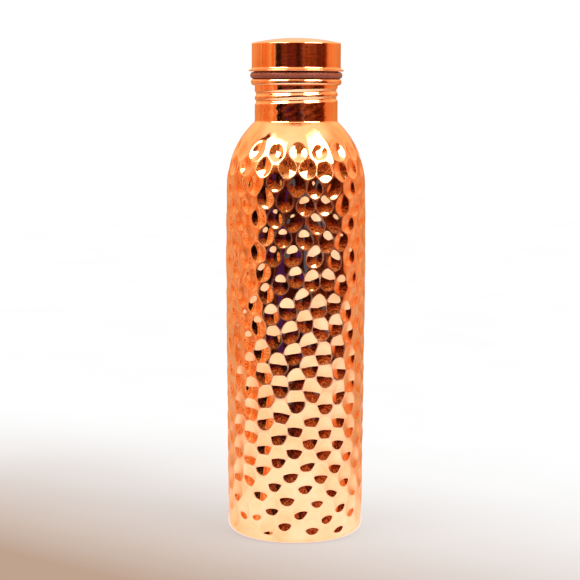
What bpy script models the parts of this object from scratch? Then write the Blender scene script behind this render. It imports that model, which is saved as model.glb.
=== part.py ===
"""A copper water bottle with a screw cap, built from the pieces it would come apart into.

bottle_body  one seamless drawn shell: pushed-in base, barrel side, shoulder, neck with a rolled
             thread and a lip curled outward
cap_shell    drawn cap cup with a shallow dome and a flared rim
cap_plug     closed threaded cup, brazed inside the cap shell, that screws into the neck
cap_gasket   soft ring round the plug, pressed between the lip and the cap

Metres, +Z up. The origin is the centre of the circle the bottle stands on, and +Z is the axis that
the cap turns about.
"""

import math

import bpy

MM = 0.001

# Driving dimensions
SEGMENTS = 40                       # facets round every turned piece
SHARP_ANGLE = math.radians(40)      # edges sharper than this stay crisp when shaded

SHEET = 0.6 * MM                    # copper sheet of the body and the plug
GAP = 0.35 * MM                     # clearance between neighbouring pieces

FOOT_R = 31.3 * MM                  # outer edge of the flat ring the bottle stands on
FOOT_WIDTH = 4.5 * MM
RECESS_DEPTH = 2.0 * MM             # how far the base is pushed up inside that ring
CORNER_R = 5.0 * MM                 # rounding between the foot and the side
BELLY_R = 37.45 * MM                # widest radius
BELLY_Z = 150.0 * MM                # height of the widest place
FOOT_TAPER = 1.15 * MM              # how much narrower the side is at the foot
SHOULDER_TAPER = 0.45 * MM          # how much narrower the side is where the shoulder starts
SHOULDER_Z = 187.0 * MM             # height where the shoulder starts
SHOULDER_R = 47.0 * MM              # radius of the shoulder's arc
NECK_FILLET = 1.5 * MM
NECK_R = 22.05 * MM                 # outer radius of the plain neck
LIP_Z = 243.9 * MM                  # top of the curled lip
LIP_R = 24.1 * MM                   # outer radius of the curled lip
LIP_HEIGHT = 3.5 * MM

PITCH = 4.0 * MM                    # right-hand thread
TURNS = 2                           # turns of thread on the neck and on the plug
THREAD_DEPTH = 0.75 * MM
THREAD_FOOT = 2.5 * MM              # width of the rib at its foot
THREAD_CREST = 1.1 * MM             # width of the rib at its crest
THREAD_FADE = math.radians(60)      # turn over which each end of a rib fades out
THREAD_START = math.radians(90)     # direction in which both ribs start and end
NECK_THREAD_Z = 230.7 * MM          # height of the middle of the neck's rib where it starts

PLUG_END_Z = 230.3 * MM             # lowest point of the plug
PLUG_CORNER = 1.0 * MM
PLUG_FLANGE_Z = 247.5 * MM          # underside of the plug's flange

CAP_R = 23.65 * MM
CAP_SHEET = 0.8 * MM
CAP_TOP_Z = 265.3 * MM
CAP_CORNER = 1.3 * MM               # rounding between the cap's side and its dome
CAP_DOME_RISE = 2.5 * MM            # how far the dome rises above that rounding
CAP_RIM_Z = 247.8 * MM              # underside of the flared rim
CAP_RIM_R = 25.3 * MM
CAP_RIM_BEVEL = 0.2 * MM
CAP_FLARE = 1.4 * MM                # radius of the hollow curve above the rim

GASKET_R = 24.5 * MM
GASKET_BULGE = 1.2 * MM             # rounding of the gasket's outer edge

# Linear colour, roughness, metallic
COPPER = ((0.80, 0.33, 0.14, 1.0), 0.22, 1.0)
COPPER_CAP = ((0.82, 0.35, 0.15, 1.0), 0.18, 1.0)
COPPER_PLUG = ((0.72, 0.29, 0.13, 1.0), 0.35, 1.0)
SILICONE = ((0.33, 0.11, 0.055, 1.0), 0.6, 0.0)

NECK_INNER_R = NECK_R - SHEET
PLUG_R = NECK_INNER_R - THREAD_DEPTH - GAP      # root of the plug's thread
THREAD_ROWS = 4                                 # foot, crest, crest, foot in each turn of a rib


def clear_scene():
    for obj in list(bpy.data.objects):
        bpy.data.objects.remove(obj, do_unlink=True)


def arc(centre_r, centre_z, radius, start, end, steps):
    """Points on an arc, from start to end in degrees, 0 pointing outward and 90 up."""
    points = []
    for i in range(steps + 1):
        angle = math.radians(start + (end - start) * i / steps)
        points.append((centre_r + radius * math.cos(angle), centre_z + radius * math.sin(angle)))
    return points


def rings(points):
    """Turns (r, z) points into outline rows that are the same in every direction."""
    return [lambda turn, p=p: p for p in points]


def fade(total):
    """How much of the rib's height stands, from 0 to 1, at a total angle along the thread."""
    last = math.tau * (TURNS - 1 / SEGMENTS)
    nearest_end = min(total, last - total)
    t = min(max(nearest_end / THREAD_FADE, 0.0), 1.0)
    return t * t * (3 - 2 * t)


def thread(root_r, depth, middle_z):
    """Outline rows, bottom to top, of a helical rib. A positive depth stands out from root_r.

    Each row climbs one pitch per turn, so at the end of a turn it meets the row THREAD_ROWS above.
    """
    half_foot = THREAD_FOOT / 2
    half_crest = THREAD_CREST / 2
    section = ((-half_foot, 0), (-half_crest, depth), (half_crest, depth), (half_foot, 0))
    rows = []
    for whole_turns in range(TURNS):
        for dz, height in section:
            def row(turn, whole=whole_turns, dz=dz, height=height):
                total = math.tau * (whole + turn)
                return root_r + height * fade(total), middle_z + dz + PITCH * (whole + turn)
            rows.append(row)
    return rows


def matches(count, threads):
    """Pairs of rows that meet where the last facet closes the turn, in an outline of count rows.

    threads lists (first row, row count, climbs) for each helical stretch.
    """
    pairs = []
    row = 0
    while row < count:
        stretch = next((t for t in threads if t[0] == row), None)
        if stretch is None:
            pairs.append((row, row))
            row += 1
            continue
        _, length, climbs = stretch
        for k in range(row, row + length - THREAD_ROWS):
            pairs.append((k, k + THREAD_ROWS) if climbs else (k + THREAD_ROWS, k))
        row += length
    return pairs


def facet(left, right):
    """Faces between a run of vertices on one side of a facet and a run on its other side."""
    if len(left) == 2 and len(right) == 2:
        faces = [[left[0], right[0], right[1], left[1]]]
    elif len(left) == 2:
        faces = [[left[0], a, b] for a, b in zip(right, right[1:])]
        faces.append([left[0], right[-1], left[1]])
    else:
        faces = [[right[0], b, a] for a, b in zip(left, left[1:])]
        faces.append([right[0], right[-1], left[-1]])
    tidy = [list(dict.fromkeys(face)) for face in faces]
    return [face for face in tidy if len(face) > 2]


def turned(name, rows, material, threads=(), closed=False):
    """A turned solid. rows run up the outside, over the top and down the inside.

    With closed, the outline is a ring that doesn't reach the axis.
    """
    vertices = []
    columns = []
    poles = {}
    for i in range(SEGMENTS):
        turn = i / SEGMENTS
        angle = THREAD_START + math.tau * turn
        column = []
        for k, row in enumerate(rows):
            r, z = row(turn)
            if r < 1e-9 and k in poles:
                column.append(poles[k])
                continue
            if r < 1e-9:
                poles[k] = len(vertices)
            column.append(len(vertices))
            vertices.append((r * math.cos(angle), r * math.sin(angle), z))
        columns.append(column)
    faces = []
    straight = [(k, k) for k in range(len(rows))]
    for i in range(SEGMENTS):
        left = columns[i]
        right = columns[(i + 1) % SEGMENTS]
        pairs = matches(len(rows), threads) if i == SEGMENTS - 1 else straight
        for (a, b), (c, d) in zip(pairs, pairs[1:]):
            faces += facet(left[a:c + 1], right[b:d + 1])
        if closed:
            faces += facet([left[-1], left[0]], [right[-1], right[0]])
    mesh = bpy.data.meshes.new(name)
    mesh.from_pydata(vertices, [], faces)
    mesh.materials.append(material)
    mesh.shade_smooth()
    mesh.set_sharp_from_angle(angle=SHARP_ANGLE)
    obj = bpy.data.objects.new(name, mesh)
    bpy.context.collection.objects.link(obj)
    return obj


def finish(name, colour, roughness, metallic):
    material = bpy.data.materials.new(name)
    material.use_nodes = True
    shader = material.node_tree.nodes["Principled BSDF"]
    shader.inputs["Base Color"].default_value = colour
    shader.inputs["Roughness"].default_value = roughness
    shader.inputs["Metallic"].default_value = metallic
    return material


def side_radius(z):
    """Outer radius of the barrel side at height z."""
    if z < BELLY_Z:
        return BELLY_R - FOOT_TAPER * ((BELLY_Z - z) / (BELLY_Z - CORNER_R)) ** 1.25
    return BELLY_R - SHOULDER_TAPER * ((z - BELLY_Z) / (SHOULDER_Z - BELLY_Z)) ** 2


def body_wall(inset):
    """The body from the middle of the base up to the neck, moved inward by inset."""
    foot_inner = FOOT_R - FOOT_WIDTH
    points = [
        (0.0, RECESS_DEPTH + inset),
        (foot_inner - RECESS_DEPTH + inset / 2, RECESS_DEPTH + inset),
        (foot_inner + inset / 2, inset),
    ]
    points += arc(FOOT_R, CORNER_R, CORNER_R - inset, -90, 0, 4)
    heights = [SHOULDER_Z * f for f in (0.2, 0.4, 0.6, 0.8, 0.9)]
    points += [(side_radius(z) - inset, z) for z in heights]

    centre_r = side_radius(SHOULDER_Z) - SHOULDER_R
    fillet_r = NECK_R + NECK_FILLET
    reach = SHOULDER_R + NECK_FILLET
    rise = math.sqrt(reach ** 2 - (fillet_r - centre_r) ** 2)
    slope = math.degrees(math.asin(rise / reach))
    points += arc(centre_r, SHOULDER_Z, SHOULDER_R - inset, 0, slope, 7)
    points += arc(fillet_r, SHOULDER_Z + rise, NECK_FILLET + inset, 180 + slope, 180, 2)
    return points


def lip():
    """The curled lip: outer face first, from the neck round to the curl's free end and back."""
    half_width = (LIP_R - NECK_INNER_R) / 2
    half_height = LIP_HEIGHT / 2
    centre_r = NECK_INNER_R + half_width
    centre_z = LIP_Z - half_height
    free_end = -90

    def oval(inset, start, end, steps):
        points = []
        for i in range(steps + 1):
            angle = math.radians(start + (end - start) * i / steps)
            points.append((
                centre_r + (half_width - inset) * math.cos(angle),
                centre_z + (half_height - inset) * math.sin(angle),
            ))
        return points

    return oval(SHEET, 180, free_end, 7) + oval(0.0, free_end, 180, 9)


def bottle_body(material):
    outside = rings(body_wall(0.0))
    inside = rings(reversed(body_wall(SHEET)))
    lip_rows = rings(lip())
    groove = thread(NECK_R, -THREAD_DEPTH, NECK_THREAD_Z)
    rib = thread(NECK_INNER_R, -THREAD_DEPTH, NECK_THREAD_Z)[::-1]
    rows = outside + groove + lip_rows + rib + inside
    threads = (
        (len(outside), len(groove), True),
        (len(outside) + len(groove) + len(lip_rows), len(rib), False),
    )
    return turned("bottle_body", rows, material, threads)


def cap_wall(inset):
    """The cap from the flared rim up to the middle of its dome, moved inward by inset."""
    sheet_z = CAP_RIM_Z + CAP_SHEET
    flare_r = CAP_R + CAP_FLARE
    points = arc(flare_r, sheet_z + CAP_FLARE, CAP_FLARE + inset, 270, 180, 4)

    drop = CAP_DOME_RISE + CAP_CORNER
    edge_r = CAP_R - CAP_CORNER
    dome_r = (edge_r ** 2 + drop ** 2 - CAP_CORNER ** 2) / (2 * CAP_DOME_RISE)
    tilt = math.degrees(math.asin(edge_r / (dome_r - CAP_CORNER)))
    points += arc(edge_r, CAP_TOP_Z - drop, CAP_CORNER - inset, 0, 90 - tilt, 4)
    points += arc(0.0, CAP_TOP_Z - dome_r, dome_r - inset, 90 - tilt, 90, 4)[1:]
    points[-1] = (0.0, points[-1][1])
    return points


def cap_shell(material):
    rim = [
        (CAP_RIM_R - CAP_RIM_BEVEL, CAP_RIM_Z),
        (CAP_RIM_R, CAP_RIM_Z + CAP_RIM_BEVEL),
        (CAP_RIM_R, CAP_RIM_Z + CAP_SHEET - CAP_RIM_BEVEL),
    ]
    rows = list(reversed(cap_wall(CAP_SHEET))) + rim + cap_wall(0.0)
    return turned("cap_shell", rings(rows), material)


def cap_plug(material):
    flange_r = CAP_R - CAP_SHEET - GAP
    inner_r = PLUG_R - SHEET
    middle_z = NECK_THREAD_Z + PITCH / 2
    corner_z = PLUG_END_Z + PLUG_CORNER
    corner_r = PLUG_R - PLUG_CORNER
    outer_corner = arc(corner_r, corner_z, PLUG_CORNER, -90, 0, 3)
    inner_corner = arc(corner_r, corner_z, PLUG_CORNER - SHEET, 0, -90, 2)
    outside = rings([(0.0, PLUG_END_Z)] + outer_corner)
    rib = thread(PLUG_R, THREAD_DEPTH, middle_z)
    flange = rings([
        (PLUG_R, PLUG_FLANGE_Z),
        (flange_r, PLUG_FLANGE_Z),
        (flange_r, PLUG_FLANGE_Z + SHEET),
        (inner_r, PLUG_FLANGE_Z + SHEET),
    ])
    groove = thread(inner_r, THREAD_DEPTH, middle_z)[::-1]
    inside = rings(inner_corner + [(0.0, PLUG_END_Z + SHEET)])
    rows = outside + rib + flange + groove + inside
    threads = (
        (len(outside), len(rib), True),
        (len(outside) + len(rib) + len(flange), len(groove), False),
    )
    return turned("cap_plug", rows, material, threads)


def cap_gasket(material):
    inner_r = PLUG_R + GAP
    low_z = LIP_Z + GAP
    high_z = PLUG_FLANGE_Z - GAP
    bulge_r = GASKET_R - GASKET_BULGE
    rows = [(inner_r, low_z)]
    rows += arc(bulge_r, low_z + GASKET_BULGE, GASKET_BULGE, -90, 0, 3)
    rows += arc(bulge_r, high_z - GASKET_BULGE, GASKET_BULGE, 0, 90, 3)
    rows += [(inner_r, high_z)]
    return turned("cap_gasket", rings(rows), material, closed=True)


def axis_empty(name, z, parent=None):
    empty = bpy.data.objects.new(name, None)
    empty.empty_display_type = "SINGLE_ARROW"
    empty.empty_display_size = 0.03
    bpy.context.collection.objects.link(empty)
    empty.location.z = z
    empty.parent = parent
    return empty


def hang(obj, axis, axis_z):
    """Puts obj under an axis empty at height axis_z, with its origin there."""
    for vertex in obj.data.vertices:
        vertex.co.z -= axis_z
    obj.parent = axis


def build():
    clear_scene()
    bottle_body(finish("copper_body", *COPPER))
    lift = axis_empty("cap_lift_axis", LIP_Z)
    turn = axis_empty("cap_turn_axis", 0.0, parent=lift)
    hang(cap_gasket(finish("silicone", *SILICONE)), lift, LIP_Z)
    hang(cap_plug(finish("copper_plug", *COPPER_PLUG)), turn, LIP_Z)
    hang(cap_shell(finish("copper_cap", *COPPER_CAP)), turn, LIP_Z)


build()
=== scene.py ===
"""The looks of a hammered copper water bottle with a screw cap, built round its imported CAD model.

The CAD gives every size that has to fit: the belly, the lip, the seal's seat, the cap's rim and top.
Each CAD piece is replaced by a finer mesh of the same piece: a hand-hammered body, a spun cap, its
threaded plug and the silicone ring between them.
"""

import math

import bpy
import numpy as np
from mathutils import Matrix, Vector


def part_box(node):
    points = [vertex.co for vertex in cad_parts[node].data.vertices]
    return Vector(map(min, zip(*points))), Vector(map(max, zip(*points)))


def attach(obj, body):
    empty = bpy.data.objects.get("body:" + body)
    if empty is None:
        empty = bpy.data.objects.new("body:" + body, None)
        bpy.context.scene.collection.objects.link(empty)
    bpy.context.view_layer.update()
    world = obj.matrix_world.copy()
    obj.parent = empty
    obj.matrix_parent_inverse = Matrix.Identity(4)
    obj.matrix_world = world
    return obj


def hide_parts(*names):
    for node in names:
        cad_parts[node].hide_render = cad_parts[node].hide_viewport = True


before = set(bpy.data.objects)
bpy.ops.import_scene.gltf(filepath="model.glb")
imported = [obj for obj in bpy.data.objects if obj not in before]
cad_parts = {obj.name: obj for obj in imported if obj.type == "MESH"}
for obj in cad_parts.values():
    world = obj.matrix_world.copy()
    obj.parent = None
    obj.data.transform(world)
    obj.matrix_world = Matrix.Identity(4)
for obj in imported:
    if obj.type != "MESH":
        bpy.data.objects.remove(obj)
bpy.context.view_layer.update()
MM = 0.001


# ---- Sizes, from the frame and from the way each piece is made ----

def top_of(node):
    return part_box(node)[1].z


def foot_of(node):
    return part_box(node)[0].z


def radius_of(node):
    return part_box(node)[1].x


BELLY_R = radius_of("bottle_body")
LIP_Z = top_of("bottle_body")
CAP_TOP_Z = top_of("cap_shell")
CAP_RIM_Z = foot_of("cap_shell")
CAP_RIM_R = radius_of("cap_shell")
PLUG_END_Z = foot_of("cap_plug")
PLUG_TOP_Z = top_of("cap_plug")
GASKET_R = radius_of("cap_gasket")
GASKET_LOW_Z = foot_of("cap_gasket")
GASKET_HIGH_Z = top_of("cap_gasket")

# Body
SHEET = 0.6 * MM
FOOT_R = 31.3 * MM
FOOT_WIDTH = 4.5 * MM
RECESS_DEPTH = 2.0 * MM
CORNER_R = 5.0 * MM
BELLY_Z = 150.0 * MM
FOOT_TAPER = 1.15 * MM
SHOULDER_TAPER = 0.45 * MM
SHOULDER_Z = 187.0 * MM
SHOULDER_R = 47.0 * MM
NECK_FILLET = 1.5 * MM
NECK_R = 22.05 * MM
LIP_R = 24.1 * MM
LIP_HEIGHT = 3.5 * MM

# Right-hand thread, rolled into the sheet, so that its rib inside is a groove outside
PITCH = 4.0 * MM
TURNS = 2
THREAD_DEPTH = 0.75 * MM
NECK_THREAD_Z = 230.7 * MM
THREAD_START = math.radians(90)
THREAD_FADE = math.radians(60)
NECK_RIB_WIDTH = 3.5 * MM
PLUG_RIB_WIDTH = 3.0 * MM
NECK_WAVE = 0.025 * MM          # unevenness that rolling the thread leaves
NECK_WAVES = ((11, 1.1 * MM), (17, -0.7 * MM))  # waves round the neck, and height for one radian
NECK_WAVE_FADES = (3.0 * MM, 2.0 * MM)          # where it dies out, above the shoulder and below the lip

TURNED_Z = 215.0 * MM           # above this the copper shows the marks of the lathe

# Cap
CAP_R = CAP_RIM_R - 1.65 * MM
CAP_SHEET = 0.8 * MM
CAP_DOME_RISE = 2.5 * MM
CAP_CORNER = 0.8 * MM
CAP_FLARE = 1.4 * MM
CAP_WAVE = 0.012 * MM           # how far the cap is from perfectly round
CAP_WAVE_CLIMB = 6.0 * MM       # height in which its waves move on by one radian
GAP = 0.35 * MM                 # the CAD's play between the neck, the plug, the seal and the cap
PLUG_CORNER = 1.0 * MM
PLUG_ROOT = 0.5 * MM            # rounding between the plug's side and its flange

# Gasket
GASKET_SQUEEZE = 0.9            # the share of the gaps above and below that the squeezed ring fills
GASKET_BULGE = 0.9              # how far its outer edge bulges, in half thicknesses
GASKET_ROUNDING = 0.35 * MM

# Hammering: a ring of blows on the shoulder, rows below it, and leaning columns on the lower side.
# A pair is the value for dents near the foot and for dents on the upper side.
SEED = 11
LOW_AND_HIGH_Z = (60.0 * MM, 150.0 * MM)        # where a pair's first value ends and its second begins
DENT_HALF_WIDTH = (5.0 * MM, 4.75 * MM)
DENT_HALF_HEIGHT = (5.8 * MM, 6.0 * MM)
DENT_DEPTH = (0.95 * MM, 0.98 * MM)
RING_DEPTH = 1.35 * MM
RIM_STEEPNESS = (0.75, 0.58)    # 1 is a plain bowl, less rounds its rim over
SOFT_TOP = (0.0, 0.28)          # how much rounder the rim is at the top than at the sides
STRUCK_DOWN = (0.0, 0.17)       # how far the deepest place lies below the middle, in half heights
DENT_SPREAD = 0.96              # closest spacing of two dents, in dent sizes
EDGE_SOFTNESS = 0.05 * MM       # how much the rim of a dent is rounded over
WIDTH_RANGE = (0.93, 1.06)      # how much single dents differ
HEIGHT_RANGE = (0.94, 1.06)
DEPTH_RANGE = (0.82, 1.12)
LEAN_SCATTER = 0.12
REACH_ASIDE = 1.6               # how far out a dent is worked out, in half widths and half heights
REACH_UP = 1.5
EXPONENTS = (-12, 60)           # the limits within which the blending of dents is exact enough
RIDGE_R = 3.5 * MM              # a crest bent tighter than this is rubbed dull
RING_START = math.radians(-88)
RING_DENTS = 18
RING_Z = 207.0 * MM
ROW_STEP = 9.0 * MM
ROW_SPACING = 10.5 * MM
ROWS_END_Z = 150.0 * MM
COLUMN_COUNT = 28
COLUMN_STEP = 12.5 * MM         # neighbouring columns are half a step off
COLUMN_LEAN = 8.0 * MM          # how far the columns bow to the side
COLUMN_MIDDLE = 0.33            # and where they bow back, as a share of the hammered wall
LAST_DENT_Z = 9.0 * MM
SLOW_SWAY = 2.4 * MM            # rows and columns wander up and down on their way round
QUICK_SWAY = 1.6 * MM
RING_SCATTER = 0.4 * MM
ROW_SCATTER = (1.1 * MM, 1.0 * MM)              # how far blows stray, sideways and up or down
COLUMN_SCATTER = (0.9 * MM, 1.0 * MM)
SPREAD_ROUNDS = 30
SPREAD_PUSH = 0.25

COLUMNS = 600                   # mesh columns round the body
FINE = 0.40 * MM                # mesh row spacing over the hammered wall
CAP_COLUMNS = 256               # mesh columns round the cap, the plug and the seal
TIGHT = 0.12 * MM               # mesh row spacing on small roundings


# ---- Outlines ----

def arc(centre_r, centre_z, radius, start, end, spacing):
    """Points on an arc from start to end in degrees, 0 outward and 90 up."""
    steps = max(2, math.ceil(radius * abs(math.radians(end - start)) / spacing))
    angles = np.radians(np.linspace(start, end, steps + 1))
    return np.stack([centre_r + radius * np.cos(angles), centre_z + radius * np.sin(angles)], 1)


def line(start, end, spacing):
    """Points from start to end, both (r, z), without the last one."""
    start = np.array(start, float)
    end = np.array(end, float)
    steps = max(1, math.ceil(np.linalg.norm(end - start) / spacing))
    t = np.linspace(0, 1, steps + 1)[:-1, None]
    return start + (end - start) * t


def ease(t):
    t = np.clip(t, 0, 1)
    return t * t * (3 - 2 * t)


def side_radius(z):
    """Outer radius of the barrel side at height z."""
    z = np.asarray(z, float)
    below = np.clip((BELLY_Z - z) / (BELLY_Z - CORNER_R), 0, 1)
    above = np.clip((z - BELLY_Z) / (SHOULDER_Z - BELLY_Z), 0, 1)
    return BELLY_R - FOOT_TAPER * below ** 1.25 - SHOULDER_TAPER * above ** 2


def base_outline(inset):
    """The pushed-in base and the flat ring the bottle stands on, from the axis outward."""
    foot_inner = FOOT_R - FOOT_WIDTH
    rise_r = foot_inner - 2 * RECESS_DEPTH
    t = np.linspace(0, 1, 9)[:-1]
    slope = np.stack([rise_r + (foot_inner - rise_r) * t, RECESS_DEPTH * (1 - ease(t)) + inset], 1)
    return np.concatenate([
        line((0, RECESS_DEPTH + inset), (rise_r, RECESS_DEPTH + inset), 2.5 * MM),
        slope,
        line((foot_inner, inset), (FOOT_R, inset), 1.2 * MM),
    ])


def wall_outline(inset, spacing):
    """Corner, barrel side, shoulder and the fillet into the neck, from the bottom up."""
    corner = arc(FOOT_R, CORNER_R, CORNER_R - inset, -90, 0, spacing)[:-1]
    heights = np.arange(CORNER_R, SHOULDER_Z, spacing)
    side = np.stack([side_radius(heights) - inset, heights], 1)
    centre_r = float(side_radius(SHOULDER_Z)) - SHOULDER_R
    fillet_r = NECK_R + NECK_FILLET
    reach = SHOULDER_R + NECK_FILLET
    rise = math.sqrt(reach ** 2 - (fillet_r - centre_r) ** 2)
    slope = math.degrees(math.asin(rise / reach))
    shoulder = arc(centre_r, SHOULDER_Z, SHOULDER_R - inset, 0, slope, spacing)[:-1]
    fillet = arc(fillet_r, SHOULDER_Z + rise, NECK_FILLET + inset, 180 + slope, 180, 0.3 * MM)[:-1]
    return np.concatenate([corner, side, shoulder, fillet]), SHOULDER_Z + rise


def lip_outline():
    """The sheet curled outward at the mouth: down its hidden inner face, then round its outside."""
    half_width = (LIP_R - NECK_R + SHEET) / 2
    half_height = LIP_HEIGHT / 2
    centre_r = LIP_R - half_width
    centre_z = LIP_Z - half_height

    def oval(inset, start, end, steps):
        angles = np.radians(np.linspace(start, end, steps + 1))
        across = centre_r + (half_width - inset) * np.cos(angles)
        return np.stack([across, centre_z + (half_height - inset) * np.sin(angles)], 1)

    return np.concatenate([oval(SHEET, 180, -90, 16), oval(0, -90, 180, 36)])


# ---- Meshes ----

def skin(name, points, material, closed=False, shade=None):
    """A mesh from a grid of points (rows, columns, xyz), running up the outside and down the inside.

    Columns turn to the left seen from above. The first and last rows lie on the axis and become one
    vertex each, unless the outline is closed. shade, a number for each point, is kept as the mesh
    attribute worn.
    """
    rows, columns = points.shape[:2]
    index = np.arange(rows * columns).reshape(rows, columns)
    if not closed:
        index[0, :] = index[0, 0]
        index[-1, :] = index[-1, 0]
    below = index if closed else index[:-1]
    above = np.roll(index, -1, 0) if closed else index[1:]
    quads = np.stack([below, np.roll(below, -1, 1), np.roll(above, -1, 1), above], -1).reshape(-1, 4)
    if closed:
        faces = quads.tolist()
    else:
        first = quads[:columns][:, [0, 2, 3]]
        last = quads[-columns:][:, [0, 1, 2]]
        faces = first.tolist() + quads[columns:-columns].tolist() + last.tolist()
    used, compact = np.unique(index, return_inverse=True)
    compact = compact.reshape(-1)
    new_index = np.zeros(rows * columns, int)
    new_index[index.reshape(-1)] = compact
    corners = [[int(new_index[i]) for i in face] for face in faces]
    mesh = bpy.data.meshes.new(name)
    mesh.from_pydata(points.reshape(-1, 3)[used].tolist(), [], corners)
    mesh.shade_smooth()
    mesh.materials.append(material)
    if shade is not None:
        attribute = mesh.attributes.new("worn", "FLOAT", "POINT")
        attribute.data.foreach_set("value", shade.reshape(-1)[used].astype(np.float32))
    piece = bpy.data.objects.new(name, mesh)
    bpy.context.collection.objects.link(piece)
    return piece


def turn(outline, columns, push=None):
    """Turns an outline (rows, rz) round the axis. push moves each point outward from the axis."""
    angles = np.linspace(0, math.tau, columns, endpoint=False)
    r = np.repeat(outline[:, :1], columns, 1)
    z = np.repeat(outline[:, 1:], columns, 1)
    if push is not None:
        r = r + push(z, angles[None, :])
    return np.stack([r * np.cos(angles), r * np.sin(angles), z], -1)


def thread_push(middle_z, width, depth):
    """A helical rib: how far it stands out at height z and angle, fading in and out at its ends."""
    def push(z, angle):
        whole = (angle - THREAD_START) % math.tau
        out = np.zeros(np.broadcast(z, angle).shape)
        for turns in range(TURNS):
            total = whole + math.tau * turns
            strength = ease(total / THREAD_FADE) * ease((math.tau * TURNS - total) / THREAD_FADE)
            away = (z - middle_z - PITCH * total / math.tau) / (width / 2)
            bump = np.cos(np.clip(away, -1, 1) * math.pi / 2) ** 2
            out = np.maximum(out, bump * strength)
        return out * depth
    return push


def neck_push(neck_z):
    """How far the neck stands out: the thread's rib, and the waviness that rolling it leaves."""
    rib = thread_push(NECK_THREAD_Z, NECK_RIB_WIDTH, -THREAD_DEPTH)
    low_fade, high_fade = NECK_WAVE_FADES

    def push(z, angle):
        fade = ease((z - neck_z) / low_fade) * ease((LIP_Z - LIP_HEIGHT - z) / high_fade)
        wave = sum(np.sin(count * angle + z / climb) for count, climb in NECK_WAVES)
        return rib(z, angle) + wave * fade * NECK_WAVE
    return push


# ---- Hammering ----

def first_blows(path_r, path_s, ring_s, rows_end_s, last_s):
    """Hammer blows (angle, distance along the wall) as aimed: the ring, the rows, the columns."""
    rng = np.random.default_rng(SEED)
    phases = rng.uniform(0, math.tau, 3)

    def sway(angle):
        slow = SLOW_SWAY * math.sin(3 * angle + phases[0])
        return slow + QUICK_SWAY * math.sin(7 * angle + phases[1])

    blows = []
    for i in range(RING_DENTS):
        blows.append((RING_START + math.tau * i / RING_DENTS, ring_s + rng.normal(0, RING_SCATTER)))
    row_s = ring_s - ROW_STEP
    row = 0
    while row_s > rows_end_s:
        r = np.interp(row_s, path_s, path_r)
        count = round(math.tau * r / ROW_SPACING)
        for i in range(count):
            angle = math.tau * (i + 0.5 * (row % 2)) / count
            aside = rng.normal(0, ROW_SCATTER[0]) / r
            blows.append((angle + aside, row_s + sway(angle) + rng.normal(0, ROW_SCATTER[1])))
        row_s -= ROW_STEP
        row += 1
    middle_s = last_s + COLUMN_MIDDLE * (ring_s - last_s)
    for column in range(COLUMN_COUNT):
        angle = math.tau * column / COLUMN_COUNT
        s = row_s - 0.5 * (column % 2) * COLUMN_STEP + sway(angle)
        while s > last_s:
            r = np.interp(s, path_s, path_r)
            bow = COLUMN_LEAN * ((s - middle_s) / (middle_s - last_s)) ** 2
            aside = (bow + rng.normal(0, COLUMN_SCATTER[0])) / r
            blows.append((angle - aside, s + rng.normal(0, COLUMN_SCATTER[1])))
            s -= COLUMN_STEP
    return np.array(blows), rng


def by_height(pair, z):
    """The value of a (near the foot, upper side) pair at height z."""
    low, high = LOW_AND_HIGH_Z
    return pair[0] + (pair[1] - pair[0]) * ease((z - low) / (high - low))


def dent_centres(path, path_s, ring_s, rows_end_s, last_s):
    """The blows after the smith has spread them: each one keeps its distance from its neighbours."""
    blows, rng = first_blows(path[:, 0], path_s, ring_s, rows_end_s, last_s)
    held = np.arange(len(blows)) < RING_DENTS
    for _ in range(SPREAD_ROUNDS):
        r, z = (np.interp(blows[:, 1], path_s, side) for side in path.T)
        half_width = by_height(DENT_HALF_WIDTH, z)[:, None]
        half_height = by_height(DENT_HALF_HEIGHT, z)[:, None]
        turn_gap = blows[:, None, 0] - blows[None, :, 0]
        turn_gap = (turn_gap + math.pi) % math.tau - math.pi
        across = turn_gap * (r[:, None] + r[None, :]) / 2 / (half_width * 2)
        along = (blows[:, None, 1] - blows[None, :, 1]) / (half_height * 2)
        not_itself = np.eye(len(blows)) * 9     # a blow counts as far away from itself
        apart = np.sqrt(across ** 2 + along ** 2) + not_itself
        shove = np.clip(DENT_SPREAD - apart, 0, None) / apart * SPREAD_PUSH
        blows[:, 0] += np.where(held, 0, (shove * across * half_width * 2).sum(1) / r)
        blows[:, 1] += np.where(held, 0, (shove * along * half_height * 2).sum(1))
        blows[:, 1] = np.clip(blows[:, 1], last_s, ring_s)
    return blows, rng


def dent_size(z, rng):
    """Half width, half height, depth and lean of one dent at height z, each a little off the rule."""
    half_width = by_height(DENT_HALF_WIDTH, z) * rng.uniform(*WIDTH_RANGE)
    half_height = by_height(DENT_HALF_HEIGHT, z) * rng.uniform(*HEIGHT_RANGE)
    depth = by_height(DENT_DEPTH, z)
    depth += (RING_DEPTH - depth) * ease((z - SHOULDER_Z) / (RING_Z - SHOULDER_Z))
    depth *= rng.uniform(*DEPTH_RANGE)
    return half_width, half_height, depth, rng.normal(0, LEAN_SCATTER)


def hollow(across, along, z):
    """How deep a dent at height z is: 1 at its deepest, 0 on its rim and less than 0 outside."""
    steepness = by_height(RIM_STEEPNESS, z) - by_height(SOFT_TOP, z) * along
    along = along + by_height(STRUCK_DOWN, z) * (1 - along ** 2)
    bowl = 1 - across ** 2 - along ** 2
    return bowl * (steepness + (1 - steepness) * np.abs(bowl))


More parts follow.
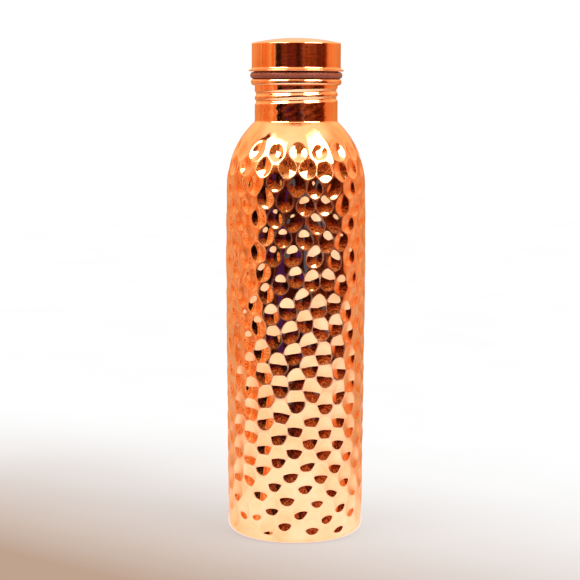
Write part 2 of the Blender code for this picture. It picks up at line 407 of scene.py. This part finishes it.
def dent_depth(path, columns):
    """How deep each point of the wall is struck in, for path (rows, rz) and evenly spaced columns."""
    r = path[:, 0]
    s = np.concatenate([[0], np.cumsum(np.linalg.norm(np.diff(path, axis=0), axis=1))])
    climb = np.arange(len(path))
    on_side = path[:, 1] > CORNER_R
    marks = (LAST_DENT_Z, ROWS_END_Z, RING_Z)
    last_s, rows_end_s, ring_s = np.interp(marks, path[on_side, 1], s[on_side])
    blows, rng = dent_centres(path, s, ring_s, rows_end_s, last_s)
    angles = np.linspace(0, math.tau, columns, endpoint=False)
    total = np.ones((len(path), columns))
    for angle, where in blows:
        here_z = float(np.interp(where, s, path[:, 1]))
        half_width, half_height, depth, lean = dent_size(here_z, rng)
        rows = climb[np.abs(s - where) < half_height * REACH_UP]
        around = (angles - angle + math.pi) % math.tau - math.pi
        reach = half_width * REACH_ASIDE / r[rows].min()
        near = np.nonzero(np.abs(around) < reach)[0]
        along = (s[rows] - where)[:, None] / half_height
        across = around[near][None, :] * r[rows][:, None] / half_width - lean * along
        exponent = depth * hollow(across, along, here_z) / EDGE_SOFTNESS
        total[np.ix_(rows, near)] += np.exp(np.clip(exponent, *EXPONENTS))
    return np.log(total) * EDGE_SOFTNESS


def dent_depth_at(wall, depth, path):
    """The dents of the outer wall as they show on a parallel path inside it."""
    share = np.linspace(0, 1, len(wall))
    outer_z = np.maximum.accumulate(wall[:, 1] + share * 1e-9)
    rows = np.interp(path[:, 1], outer_z, np.arange(len(wall)))
    low = np.clip(rows.astype(int), 0, len(wall) - 2)
    part = (rows - low)[:, None]
    return depth[low] * (1 - part) + depth[low + 1] * part


def ridges(depth, path):
    """0 on the bowls and the flats, rising to 1 along the crests where two dents meet."""
    step = np.linalg.norm(np.gradient(path, axis=0), axis=1)[:, None]
    arc_step = path[:, :1] * math.tau / depth.shape[1]
    upward = np.gradient(np.gradient(depth, axis=0), axis=0) / step ** 2
    sideways = (np.roll(depth, 1, 1) + np.roll(depth, -1, 1) - 2 * depth) / arc_step ** 2
    return np.clip((upward + sideways) * RIDGE_R, 0, 1)


def outward(path):
    """Unit normals of a path (rows, rz) that runs up an outer wall."""
    tangent = np.gradient(path, axis=0)
    tangent /= np.linalg.norm(tangent, axis=1)[:, None]
    return np.stack([tangent[:, 1], -tangent[:, 0]], 1)


def hammered(path, columns, depth):
    """The wall's points with every dent pushed in along the wall's own normal."""
    angles = np.linspace(0, math.tau, columns, endpoint=False)
    normal = outward(path)
    r = path[:, :1] - normal[:, :1] * depth
    z = path[:, 1:] - normal[:, 1:] * depth
    return np.stack([r * np.cos(angles), r * np.sin(angles), z], -1)


# ---- Node helpers ----

class Graph:
    """Short calls for building a node tree."""

    def __init__(self, tree):
        self.tree = tree
        tree.nodes.clear()

    def add(self, kind, **inputs):
        node = self.tree.nodes.new(kind)
        for key, value in inputs.items():
            self.feed(node.inputs[key.replace("_", " ")], value)
        return node

    def feed(self, socket, value):
        if isinstance(value, bpy.types.NodeSocket):
            self.tree.links.new(value, socket)
        else:
            socket.default_value = value

    def math(self, operation, *values):
        node = self.tree.nodes.new("ShaderNodeMath")
        node.operation = operation
        for socket, value in zip(node.inputs, values):
            self.feed(socket, value)
        return node.outputs[0]

    def step(self, value, low, high, to_low=0.0, to_high=1.0):
        """Smooth step of value from low to high."""
        node = self.tree.nodes.new("ShaderNodeMapRange")
        node.interpolation_type = "SMOOTHSTEP"
        values = (value, low, high, to_low, to_high)
        for name, v in zip(("Value", "From Min", "From Max", "To Min", "To Max"), values):
            self.feed(node.inputs[name], v)
        return node.outputs["Result"]

    def band(self, value, low, high, soft):
        """1 between low and high, easing to 0 over soft outside them."""
        rise = self.step(value, low - soft, low)
        fall = self.step(value, high, high + soft, 1.0, 0.0)
        return self.math("MULTIPLY", rise, fall)

    def mix(self, factor, a, b, blend="MIX"):
        node = self.tree.nodes.new("ShaderNodeMix")
        node.data_type = "RGBA"
        node.blend_type = blend
        self.feed(node.inputs["Factor"], factor)
        colours = [socket for socket in node.inputs if socket.type == "RGBA"]
        self.feed(colours[0], a)
        self.feed(colours[1], b)
        return next(socket for socket in node.outputs if socket.type == "RGBA")

    def ramp(self, factor, stops):
        """A colour ramp; stops are (place from 0 to 1, (r, g, b))."""
        node = self.tree.nodes.new("ShaderNodeValToRGB")
        ramp = node.color_ramp
        while len(ramp.elements) < len(stops):
            ramp.elements.new(1.0)
        for element, (place, colour) in zip(ramp.elements, stops):
            element.position = place
            element.color = (*colour, 1.0)
        self.feed(node.inputs["Fac"], factor)
        return node.outputs["Color"]

    def noise(self, vector, scale, detail, roughness):
        node = self.add("ShaderNodeTexNoise", Vector=vector, Scale=scale, Detail=detail,
                        Roughness=roughness)
        return node.outputs["Fac"]

    def flat(self, x, y, z):
        """Three values as one vector or colour."""
        return self.add("ShaderNodeCombineXYZ", X=x, Y=y, Z=z).outputs[0]

    def choose(self, factor, at_0, at_1):
        """One shader where factor is 0, the other where it is 1."""
        node = self.tree.nodes.new("ShaderNodeMixShader")
        for socket, value in zip(node.inputs, (factor, at_0, at_1)):
            self.feed(socket, value)
        return node.outputs[0]

    def camera_ray(self):
        return self.add("ShaderNodeLightPath").outputs["Is Camera Ray"]

    def stretched(self, vector, scale):
        node = self.add("ShaderNodeMapping", Vector=vector, Scale=scale)
        return node.outputs["Vector"]


def new_material(name):
    material = bpy.data.materials.new(name)
    material.use_nodes = True
    return material, Graph(material.node_tree)


# ---- Materials ----

COPPER = (0.95, 0.42, 0.18)
COPPER_DEEP = (0.86, 0.33, 0.12)
COPPER_PALE = (0.98, 0.50, 0.25)
COPPER_EDGE = (0.93, 0.72, 0.58, 1.0)       # what it reflects at a grazing angle
TARNISH = (0.45, 0.16, 0.06, 1.0)
SILICONE_DEEP = (0.16, 0.035, 0.015)
SILICONE = (0.21, 0.050, 0.024)
SILICONE_DUSTY = (0.27, 0.080, 0.042)


def copper(name, roughness, tarnish, turned_above=0.0, uses_wear=False):
    """Polished copper: uneven tone, a few smears, and lathe marks round the axis above a height.

    Roughness is what it is between the smears, and tarnish is the strength of its dark spots.
    With uses_wear, the crests in the mesh's worn attribute are rubbed paler and duller.
    """
    material, g = new_material(name)
    place = g.add("ShaderNodeTexCoord").outputs["Object"]
    cloud = g.noise(place, scale=45.0, detail=4.0, roughness=0.6)
    tone = g.ramp(cloud, [(0.3, COPPER_DEEP), (0.5, COPPER), (0.75, COPPER_PALE)])
    spots = g.step(g.noise(place, scale=160.0, detail=5.0, roughness=0.7), 0.55, 0.8)
    tone = g.mix(g.math("MULTIPLY", spots, tarnish), tone, TARNISH)
    smear = g.step(g.noise(place, scale=110.0, detail=5.0, roughness=0.65), 0.45, 0.75)
    rough = g.math("ADD", g.math("MULTIPLY", smear, roughness * 0.9), roughness)
    if uses_wear:
        worn = g.add("ShaderNodeAttribute")
        worn.attribute_name = "worn"
        tone = g.mix(g.math("MULTIPLY", worn.outputs["Fac"], 0.5), tone, (*COPPER_PALE, 1))
        rough = g.math("ADD", rough, g.math("MULTIPLY", worn.outputs["Fac"], 0.20))
    height = g.add("ShaderNodeSeparateXYZ", Vector=place).outputs["Z"]
    turned = g.step(height, turned_above - 1 * MM, turned_above + 2 * MM, 0.02, 1.0)
    squashed = g.stretched(place, (1.0, 1.0, 5.0))
    rings = g.noise(squashed, scale=210.0, detail=4.0, roughness=0.65)
    lines = g.math("MULTIPLY", rings, turned)
    bump = g.add("ShaderNodeBump", Height=lines, Strength=0.6, Distance=0.1 * MM)
    shader = g.add("ShaderNodeBsdfPrincipled", Base_Color=tone, Roughness=rough, Metallic=1.0,
                   Normal=bump.outputs["Normal"])
    shader.inputs["Specular Tint"].default_value = COPPER_EDGE
    out = g.add("ShaderNodeOutputMaterial")
    g.feed(out.inputs["Surface"], shader.outputs["BSDF"])
    return material


def silicone():
    """Brown-red food-grade silicone: matt, faintly dusty, with fine moulding grain."""
    material, g = new_material("silicone_brown")
    place = g.add("ShaderNodeTexCoord").outputs["Object"]
    dust = g.noise(place, scale=220.0, detail=5.0, roughness=0.7)
    tone = g.ramp(dust, [(0.3, SILICONE_DEEP), (0.6, SILICONE), (0.8, SILICONE_DUSTY)])
    grain = g.noise(place, scale=2600.0, detail=3.0, roughness=0.6)
    bump = g.add("ShaderNodeBump", Height=grain, Strength=0.25, Distance=0.06 * MM)
    rough = g.math("ADD", g.math("MULTIPLY", dust, 0.25), 0.38)
    shader = g.add("ShaderNodeBsdfPrincipled", Base_Color=tone, Roughness=rough, Metallic=0.0,
                   Normal=bump.outputs["Normal"])
    shader.inputs["Specular IOR Level"].default_value = 0.25
    out = g.add("ShaderNodeOutputMaterial")
    g.feed(out.inputs["Surface"], shader.outputs["BSDF"])
    return material


# ---- Pieces ----

def make_body():
    base = base_outline(0.0)
    wall, neck_z = wall_outline(0.0, FINE)
    depth = dent_depth(wall, COLUMNS)
    outside = hammered(wall, COLUMNS, depth)

    thread = neck_push(neck_z)
    lip = lip_outline()
    neck_top = LIP_Z - LIP_HEIGHT / 2
    neck = line((NECK_R, neck_z), (NECK_R, neck_top), 0.2 * MM)
    inner_r = NECK_R - SHEET
    inner_neck = line((inner_r, neck_top), (inner_r, neck_z), 0.3 * MM)[1:]

    inner_path, _ = wall_outline(SHEET, FINE * 3)
    inner_depth = dent_depth_at(wall, depth, inner_path)
    inside = hammered(inner_path, COLUMNS, inner_depth)[::-1]
    floor = base_outline(SHEET)[::-1]

    grid = np.concatenate([
        turn(base, COLUMNS),
        outside,
        turn(neck, COLUMNS, thread),
        turn(lip, COLUMNS),
        turn(inner_neck, COLUMNS, thread),
        inside,
        turn(floor, COLUMNS),
    ])
    shade = np.zeros(grid.shape[:2])
    shade[len(base):len(base) + len(wall)] = ridges(depth, wall)
    material = copper("copper_hammered", 0.05, 0.03, turned_above=TURNED_Z, uses_wear=True)
    body = skin("hammered_body", grid, material, shade=shade)
    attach(body, "bottle")
    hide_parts("bottle_body")


def cap_outline(inset):
    """The cap from its flared rim up to the middle of its dome, moved inward by inset."""
    sheet_z = CAP_RIM_Z + CAP_SHEET
    flare_r = CAP_R + CAP_FLARE
    flare = arc(flare_r, sheet_z + CAP_FLARE, CAP_FLARE + inset, 270, 180, TIGHT)
    edge_r = CAP_R - CAP_CORNER
    drop = CAP_DOME_RISE + CAP_CORNER
    corner_z = CAP_TOP_Z - drop
    dome_r = (edge_r ** 2 + drop ** 2 - CAP_CORNER ** 2) / (2 * CAP_DOME_RISE)
    tilt = math.degrees(math.asin(edge_r / (dome_r - CAP_CORNER)))
    wall = line(flare[-1], (CAP_R - inset, corner_z), 0.6 * MM)[1:]
    corner = arc(edge_r, corner_z, CAP_CORNER - inset, 0, 90 - tilt, TIGHT)
    dome = arc(0.0, CAP_TOP_Z - dome_r, dome_r - inset, 90 - tilt, 90, 0.7 * MM)[1:]
    dome[-1, 0] = 0.0
    return np.concatenate([flare, wall, corner, dome])


def make_cap_shell():
    rim_centre_z = CAP_RIM_Z + CAP_SHEET / 2
    rim_r = CAP_RIM_R - CAP_SHEET / 2
    rim = arc(rim_r, rim_centre_z, CAP_SHEET / 2, -90, 90, TIGHT)
    outline = np.concatenate([cap_outline(CAP_SHEET)[::-1], rim, cap_outline(0.0)])
    rng = np.random.default_rng(SEED + 1)
    phases = rng.uniform(0, math.tau, 6)

    def ripple(z, angle):
        """The cap isn't perfectly round: slow waves, two to five of them round it."""
        wave = sum(np.sin(k * angle + phases[k] + z / CAP_WAVE_CLIMB) / k for k in range(2, 6))
        return wave * CAP_WAVE

    grid = turn(outline, CAP_COLUMNS, ripple)
    grid[0, :, :2] = 0.0
    grid[-1, :, :2] = 0.0
    cap = skin("spun_cap", grid, copper("copper_cap", 0.05, 0.02))
    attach(cap, "cap")
    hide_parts("cap_shell")


def make_plug():
    plug_r = NECK_R - SHEET - THREAD_DEPTH - GAP
    inner_r = plug_r - SHEET
    flange_r = radius_of("cap_plug")
    corner_z = PLUG_END_Z + PLUG_CORNER
    corner_r = plug_r - PLUG_CORNER
    flange_z = PLUG_TOP_Z - SHEET
    rib = thread_push(NECK_THREAD_Z + PITCH / 2, PLUG_RIB_WIDTH, THREAD_DEPTH)
    root_r = plug_r + PLUG_ROOT
    edge_r = flange_r - SHEET / 2
    outline = np.concatenate([
        line((0, PLUG_END_Z), (corner_r, PLUG_END_Z), 2 * MM),
        arc(corner_r, corner_z, PLUG_CORNER, -90, 0, 0.2 * MM)[:-1],
        line((plug_r, corner_z), (plug_r, flange_z - PLUG_ROOT), 0.25 * MM),
        arc(root_r, flange_z - PLUG_ROOT, PLUG_ROOT, 180, 90, TIGHT)[:-1],
        line((root_r, flange_z), (edge_r, flange_z), 0.4 * MM),
        arc(edge_r, flange_z + SHEET / 2, SHEET / 2, -90, 90, 0.1 * MM)[:-1],
        line((edge_r, PLUG_TOP_Z), (inner_r, PLUG_TOP_Z), 0.6 * MM),
        line((inner_r, PLUG_TOP_Z), (inner_r, corner_z), 0.4 * MM),
        arc(corner_r, corner_z, PLUG_CORNER - SHEET, 0, -90, 0.15 * MM)[:-1],
        line((corner_r, PLUG_END_Z + SHEET), (0, PLUG_END_Z + SHEET), 2 * MM),
        [(0.0, PLUG_END_Z + SHEET)],
    ])
    grid = turn(outline, CAP_COLUMNS, rib)
    grid[0, :, :2] = 0.0
    grid[-1, :, :2] = 0.0
    plug = skin("threaded_plug", grid, copper("copper_plug", 0.09, 0.12))
    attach(plug, "cap")
    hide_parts("cap_plug")


def make_gasket():
    """The ring as it is squeezed: it fills the gaps that the CAD keeps to the lip and the cap."""
    inner_r = NECK_R - SHEET - THREAD_DEPTH
    low = GASKET_LOW_Z - GAP * GASKET_SQUEEZE
    high = GASKET_HIGH_Z + GAP * GASKET_SQUEEZE
    half = (high - low) / 2
    soft = GASKET_ROUNDING
    bulge_r = GASKET_R - half * GASKET_BULGE
    t = np.radians(np.linspace(-90, 90, 41))
    bulge_z = (low + high) / 2 + half * np.sin(t)
    bulge = np.stack([bulge_r + half * GASKET_BULGE * np.cos(t), bulge_z], 1)
    outline = np.concatenate([
        line((inner_r + soft, low), (bulge_r, low), 0.5 * MM),
        bulge,
        line((bulge_r, high), (inner_r + soft, high), 0.5 * MM)[1:],
        arc(inner_r + soft, high - soft, soft, 90, 180, TIGHT),
        arc(inner_r + soft, low + soft, soft, 180, 270, TIGHT)[:-1],
    ])
    gasket = skin("seal_ring", turn(outline, CAP_COLUMNS), silicone(), closed=True)
    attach(gasket, "seal")
    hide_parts("cap_gasket")


# ---- Studio ----
# Heights and azimuths of the tent are in degrees. Azimuth 0 is straight in front, and 90 on the right.

FLOOR_SIZE = 6.0
TABLE_FRONT = 0.45          # how far the lit table reaches from the bottle's axis
TABLE_SLANT = 0.30          # and how much farther its front edge reaches towards the right
TABLE_LEFT = 0.31
TABLE_RIGHT = 0.48
TABLE_BACK = 0.50
WHITE = (1.0, 1.0, 1.0, 1.0)
TABLE_GLOW = (1.70, 1.75, 2.15, 1.0)
TABLE_GLOW_BEHIND = (1.05, 0.85, 0.72, 1.0)
FADE_START = 0.36           # how far behind the axis the painted shade on the floor begins, darkening it towards the front
FADE_SLANT = 0.76           # and how much sooner on the left
FADE_POWER = 2.5
FADE_MOST = 0.20            # the darkest it gets, so that it stays pale
FADE_NEAR = 0.19            # and the distances from the axis between which it is white again
FADE_FAR = 0.42
# The most that the floor's painted shade takes off each colour
FLOOR_PAINTED_SHADE = (2.3, 3.1, 3.58, 1.0)
FLOOR_DULL = (0.29, 0.32, 0.346, 1.0)       # the cloth's colour, so that the tent's light shows it white

CAMERA_PLACE = (-0.0033, -0.890, 0.237)
CAMERA_TILT = math.radians(-6.796)
CAMERA_ROLL = math.radians(-0.144)
FOCAL_LENGTH = 103.2        # in mm, as the sensor's width is
SENSOR_WIDTH = 36.0

# Lamps: their two sides, how far they lean for each degree of height, and the heights between which
# their foot and their top fade
LEFT_LAMP = ((-80, -27), 0.0, (27, 29), (46, 62))
RIGHT_LAMP = ((16, 62), 0.35, (24, 26), (50, 70))
CLAMP = ((-120, -111), 0.5, (38, 40), (54, 56))     # a dark clamp that holds the tent's top
CEILING = (38.0, 55.0)                              # where the walls turn into the ceiling
LAMP_LIGHT = (13.0, 12.5, 12.0, 1.0)
CEILING_LIGHT = (1.75, 1.6, 1.5, 1.0)
CLAMP_COLOUR = (0.16, 0.035, 0.012, 1.0)

CLOTH_DEEPER = (1.0, 0.80, 0.58, 1.0)       # multiplies the cloth level with the cap
CLOTH_LIT_BACK = (1.25, 0.95, 0.75, 1.0)
CLUTTER_RED = (0.98, 0.20, 0.02, 1.0)
CLUTTER_BROWN = (0.30, 0.05, 0.015, 1.0)
ROOM_GLOW = (0.62, 0.29, 0.10, 1.0)
ROOM_WARM = (0.80, 0.48, 0.22, 1.0)
ROOM_GLINT = (2.4, 1.9, 1.5, 1.0)
ROOM_PURPLE = (0.06, 0.025, 0.30, 1.0)
ROOM_BLUE = (0.09, 0.17, 0.40, 1.0)

# Colours of the tent and the room in its opening, by azimuth
WALL = (0.98, 0.66, 0.47)
TENT = (
    (-180, (0.90, 0.62, 0.44)),
    (-150, (1.00, 0.76, 0.52)),
    (-122, WALL),
    (-104, WALL),
    (-92, (0.98, 0.50, 0.25)),
    (-84, (1.00, 0.38, 0.12)),
    (-78, (1.05, 0.78, 0.52)),
    (-68, (1.10, 0.88, 0.60)),
    (-64, (1.00, 0.36, 0.08)),
    (-60, (1.00, 0.28, 0.03)),
    (-58, (1.10, 0.90, 0.60)),
    (-56.5, (1.00, 0.80, 0.50)),
    (-55, (0.030, 0.008, 0.006)),
    (-40, (0.045, 0.010, 0.010)),
    (-34, (0.30, 0.080, 0.030)),
    (-22, (0.17, 0.030, 0.020)),
    (-2, (0.17, 0.030, 0.020)),
    (2, (0.060, 0.012, 0.012)),
    (10, (0.075, 0.014, 0.012)),
    (14, (0.33, 0.085, 0.034)),
    (42, (0.35, 0.095, 0.040)),
    (52, (0.24, 0.050, 0.020)),
    (72, (0.16, 0.024, 0.010)),
    (80, (0.24, 0.034, 0.008)),
    (84, (0.45, 0.110, 0.030)),
    (88, (0.85, 0.38, 0.18)),
    (95, WALL),
    (128, WALL),
    (152, (0.85, 0.60, 0.42)),
)
OPENING = (-56, 84)         # where the tent is open on the dark room


def patch(g, azimuth, height, shape, soft):
    """1 inside a patch of the tent such as LEFT_LAMP, and 0 outside it."""
    sides, lean, foot, top = shape
    leaning = g.math("SUBTRACT", azimuth, g.math("MULTIPLY", height, lean))
    upright = g.math("MULTIPLY", g.step(height, *foot), g.step(height, *top, 1.0, 0.0))
    return g.math("MULTIPLY", g.band(leaning, *sides, soft), upright)


def light_tent():
    """A light tent, seen only in reflections: pale walls, open at the front on a dark room."""
    world = bpy.data.worlds.new("light_tent")
    bpy.context.scene.world = world
    world.use_nodes = True
    g = Graph(world.node_tree)
    direction = g.add("ShaderNodeTexCoord").outputs["Generated"]
    x, y, z = g.add("ShaderNodeSeparateXYZ", Vector=direction).outputs
    turned = g.math("ARCTAN2", x, g.math("MULTIPLY", y, -1.0))
    azimuth = g.math("MULTIPLY", turned, 180 / math.pi)
    height = g.math("MULTIPLY", g.math("ARCSINE", z), 180 / math.pi)

    place = g.math("ADD", g.math("DIVIDE", azimuth, 360.0), 0.5)
    ring = g.ramp(place, [(degrees / 360 + 0.5, colour) for degrees, colour in TENT])
    room = g.band(azimuth, *OPENING, 1.5)
    sky = g.mix(room, tent_walls(g, ring, azimuth, height), dark_room(g, ring, azimuth, height))
    sky = g.mix(g.step(height, *CEILING), sky, CEILING_LIGHT)
    left = patch(g, azimuth, height, LEFT_LAMP, 3.0)
    right = patch(g, azimuth, height, RIGHT_LAMP, 3.0)
    sky = g.mix(g.math("ADD", left, right), sky, LAMP_LIGHT)
    sky = g.mix(patch(g, azimuth, height, CLAMP, 2.0), sky, CLAMP_COLOUR)

    seen = g.add("ShaderNodeBackground", Color=WHITE)
    reflected = g.add("ShaderNodeBackground", Color=sky)
    choose = g.choose(g.camera_ray(), reflected.outputs[0], seen.outputs[0])
    out = g.add("ShaderNodeOutputWorld")
    g.feed(out.inputs["Surface"], choose)


def tent_walls(g, ring, azimuth, height):
    """Cloth walls with soft upright folds, and red and brown clutter beside the opening."""
    upright = g.flat(azimuth, g.math("MULTIPLY", height, 0.2), 0.0)
    folds = g.step(g.noise(upright, scale=0.16, detail=4.0, roughness=0.65), 0.3, 0.7, 0.80, 1.12)
    cloth = g.mix(1.0, ring, folds, "MULTIPLY")
    cap_level = g.band(height, -2.0, 6.0, 4.0)
    cloth = g.mix(cap_level, cloth, g.mix(1.0, cloth, CLOTH_DEEPER, "MULTIPLY"))
    to_back = g.step(g.math("ABSOLUTE", azimuth), 110.0, 160.0)
    lit_back = g.math("MULTIPLY", to_back, g.step(height, 5.0, 25.0))
    cloth = g.mix(lit_back, cloth, CLOTH_LIT_BACK)
    low_shade = g.step(height, -24.0, -11.0, 0.70, 1.0)
    shade = g.math("MULTIPLY", low_shade, g.step(height, 2.0, 14.0, 1.0, 1.4))
    cloth = g.mix(1.0, cloth, g.flat(shade, shade, shade), "MULTIPLY")

    clutter = g.noise(g.flat(azimuth, height, 20.0), scale=0.24, detail=4.0, roughness=0.65)
    low = g.step(height, 12.0, 24.0, 1.0, 0.0)
    left = g.math("MULTIPLY", g.band(azimuth, -118, -58, 6.0), low)
    right = g.math("MULTIPLY", g.band(azimuth, 92, 112, 10.0), low)
    red = g.math("MULTIPLY", g.step(clutter, 0.50, 0.56), g.math("ADD", left, right))
    cloth = g.mix(g.math("MULTIPLY", red, 0.75), cloth, CLUTTER_RED)
    brown = g.math("MULTIPLY", g.step(clutter, 0.58, 0.62), left)
    return g.mix(g.math("MULTIPLY", brown, 0.8), cloth, CLUTTER_BROWN)


def dark_room(g, ring, azimuth, height):
    """The room beyond the opening: near black below, brown clutter and an orange glow above."""
    cell = g.flat(azimuth, height, 0.0)
    clutter = g.noise(cell, scale=0.17, detail=5.0, roughness=0.7)
    patches = g.step(clutter, 0.38, 0.66, 0.30, 2.1)
    uneven = g.math("ADD", height, g.math("MULTIPLY", g.math("SUBTRACT", clutter, 0.5), 40.0))
    rise = g.step(uneven, -5.0, 5.0, 0.25, 1.0)
    base = g.mix(g.step(uneven, 6.0, 24.0, 0.0, 0.75), ring, ROOM_GLOW)
    tone = g.mix(1.0, base, g.math("MULTIPLY", patches, rise), "MULTIPLY")
    warm = g.math("MULTIPLY", g.step(clutter, 0.58, 0.68), g.step(height, 4.0, 20.0))
    tone = g.mix(warm, tone, ROOM_WARM)
    glints = g.step(g.noise(cell, scale=0.45, detail=3.0, roughness=0.6), 0.67, 0.71)
    glints = g.math("MULTIPLY", glints, g.step(height, -8.0, 6.0, 0.1, 0.8))
    tone = g.mix(glints, tone, ROOM_GLINT)
    below = g.step(height, -4.5, -3.0, 1.0, 0.0)
    purple = g.math("MULTIPLY", g.band(azimuth, -28, -21, 2.0), below)
    blue = g.math("MULTIPLY", g.band(azimuth, 14, 21, 2.0), below)
    tone = g.mix(purple, tone, ROOM_PURPLE)
    return g.mix(blue, tone, ROOM_BLUE)


def table_in_reflections(g, x, y):
    """The tent's lit base: a glowing sheet with nothing beyond its edges."""
    slanted = g.math("ADD", y, g.math("MULTIPLY", x, TABLE_SLANT))
    across = g.band(x, -TABLE_LEFT, TABLE_RIGHT, 0.01)
    lit = g.math("MULTIPLY", across, g.band(slanted, -TABLE_FRONT, TABLE_BACK, 0.006))
    behind = g.step(y, -0.05, 0.12)
    aside = g.step(g.math("ABSOLUTE", x), 0.05, 0.30, 1.0, 0.82)
    cloth = g.mix(1.0, g.mix(behind, TABLE_GLOW, TABLE_GLOW_BEHIND), aside, "MULTIPLY")
    nothing = g.add("ShaderNodeBsdfTransparent")
    glow = g.add("ShaderNodeEmission", Color=cloth)
    return g.choose(lit, nothing.outputs[0], glow.outputs[0])


def floor_to_the_eye(g, place, x, y):
    """White cloth that mostly glows, with painted shade that darkens it softly towards the front left,
    where it also takes shadow.
    """
    grain = g.step(g.noise(place, scale=9.0, detail=3.0, roughness=0.5), 0.3, 0.7, 0.99, 1.01)
    away = g.math("ADD", y, g.math("MULTIPLY", x, FADE_SLANT))
    near = g.math("MAXIMUM", g.math("SUBTRACT", FADE_START, away), 0.0)
    near = g.math("MINIMUM", g.math("POWER", near, FADE_POWER), FADE_MOST)
    from_axis = g.math("SQRT", g.math("ADD", g.math("MULTIPLY", x, x), g.math("MULTIPLY", y, y)))
    near = g.math("MULTIPLY", near, g.step(from_axis, FADE_NEAR, FADE_FAR, 1.0, 0.0))
    # Painted shade: the floor's colour is darkened towards the front left instead of being lit that way
    fade = g.mix(1.0, FLOOR_PAINTED_SHADE, near, "MULTIPLY")
    tone = g.mix(1.0, g.mix(1.0, WHITE, fade, "SUBTRACT"), grain, "MULTIPLY")
    dull = g.mix(1.0, tone, FLOOR_DULL, "MULTIPLY")
    far = g.step(from_axis, FADE_NEAR, FADE_FAR)
    # This share of the floor glows with the painted colour; the rest is lit and takes real shadow
    glow_share = g.math("MAXIMUM", g.step(away, -0.05, 0.25, 0.72, 1.0), far)
    takes_shadow = g.add("ShaderNodeBsdfDiffuse", Color=dull)
    shines = g.add("ShaderNodeEmission", Color=tone)
    return g.choose(glow_share, takes_shadow.outputs[0], shines.outputs[0])


def table():
    """A plain pale floor that melts into the backdrop. Reflections see it as the tent's lit base."""
    mesh = bpy.data.meshes.new("floor")
    far = FLOOR_SIZE
    corners = [(-far, -far, 0), (far, -far, 0), (far, far, 0), (-far, far, 0)]
    mesh.from_pydata(corners, [], [(0, 1, 2, 3)])
    floor = bpy.data.objects.new("floor", mesh)
    bpy.context.collection.objects.link(floor)
    material, g = new_material("pale_floor")
    place = g.add("ShaderNodeTexCoord").outputs["Object"]
    x, y, _ = g.add("ShaderNodeSeparateXYZ", Vector=place).outputs
    reflected = table_in_reflections(g, x, y)
    seen = floor_to_the_eye(g, place, x, y)
    out = g.add("ShaderNodeOutputMaterial")
    g.feed(out.inputs["Surface"], g.choose(g.camera_ray(), reflected, seen))
    mesh.materials.append(material)


def camera():
    """A long lens level with the neck, tilted down so that the bottle fills the frame."""
    data = bpy.data.cameras.new("camera")
    data.sensor_width = SENSOR_WIDTH
    data.lens = FOCAL_LENGTH
    data.clip_start = 0.05
    cam = bpy.data.objects.new("camera", data)
    bpy.context.collection.objects.link(cam)
    cam.location = CAMERA_PLACE
    cam.rotation_euler = (math.radians(90) + CAMERA_TILT, CAMERA_ROLL, 0.0)
    bpy.context.scene.camera = cam


make_body()
make_cap_shell()
make_plug()
make_gasket()
light_tent()
table()
camera()
bpy.context.scene.view_settings.view_transform = "Standard"
